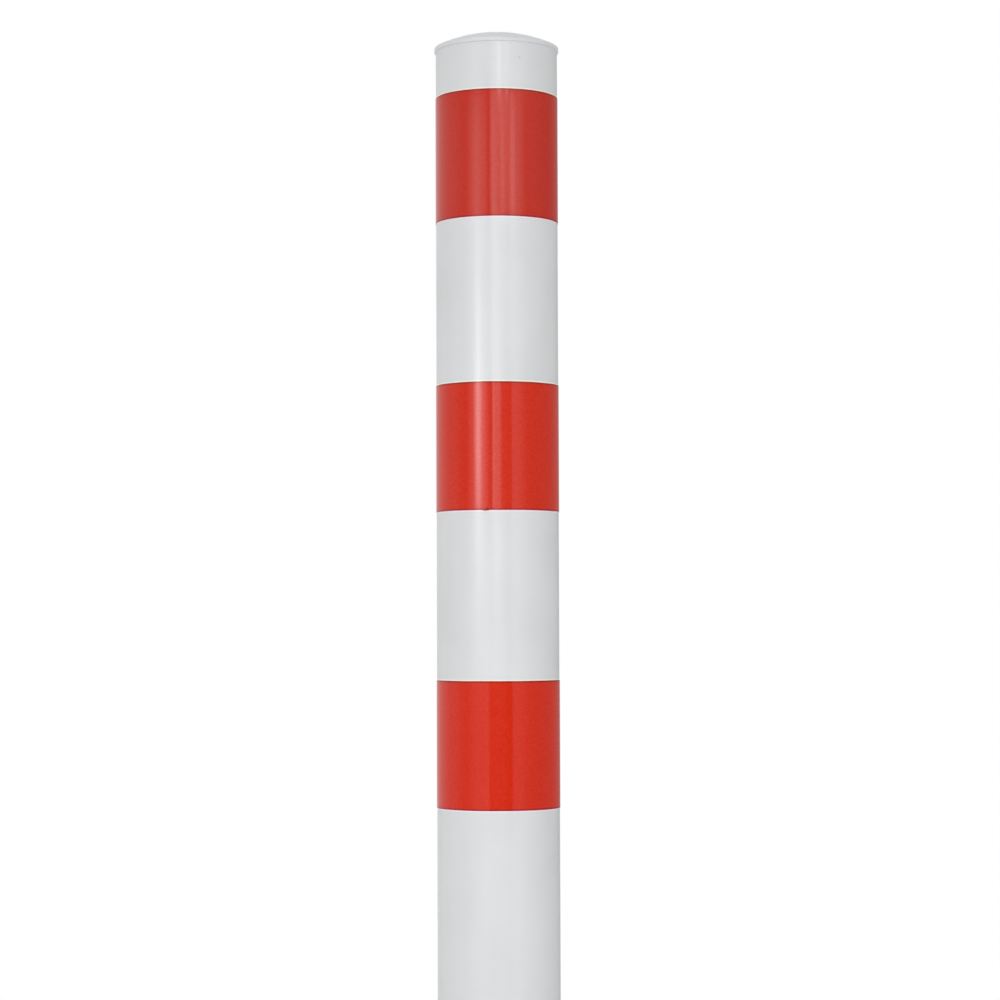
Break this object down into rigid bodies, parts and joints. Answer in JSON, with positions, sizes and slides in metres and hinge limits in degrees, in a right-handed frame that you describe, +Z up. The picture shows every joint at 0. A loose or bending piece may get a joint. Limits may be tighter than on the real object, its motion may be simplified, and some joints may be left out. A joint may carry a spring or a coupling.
{
  "type": "barrier post",
  "caption": "Fixed barrier post: white round steel tube with a domed plastic cap, red film bands and a loose anchor rod through the foot, for setting in concrete.",
  "frame": {"origin": "centre of the tube's square-cut foot", "axes": "+Z up along the tube, X along the anchor rod, +Y towards the back, where the film bands overlap"},
  "size_m": [0.1062, 0.0776, 1.5115],
  "materials": {
    "white_coating": "glossy white powder coat on steel",
    "white_plastic": "satin moulded white plastic",
    "red_film": "glossy red adhesive film",
    "bare_steel": "bare drawn bar, a little rusty at the cut ends"
  },
  "bodies": {
    "root": {"post_tube": "white_coating", "post_cap": "white_plastic", "upper_band": "red_film", "middle_band": "red_film", "lower_band": "red_film", "anchor_rod": "bare_steel"}
  },
  "joints": []
}
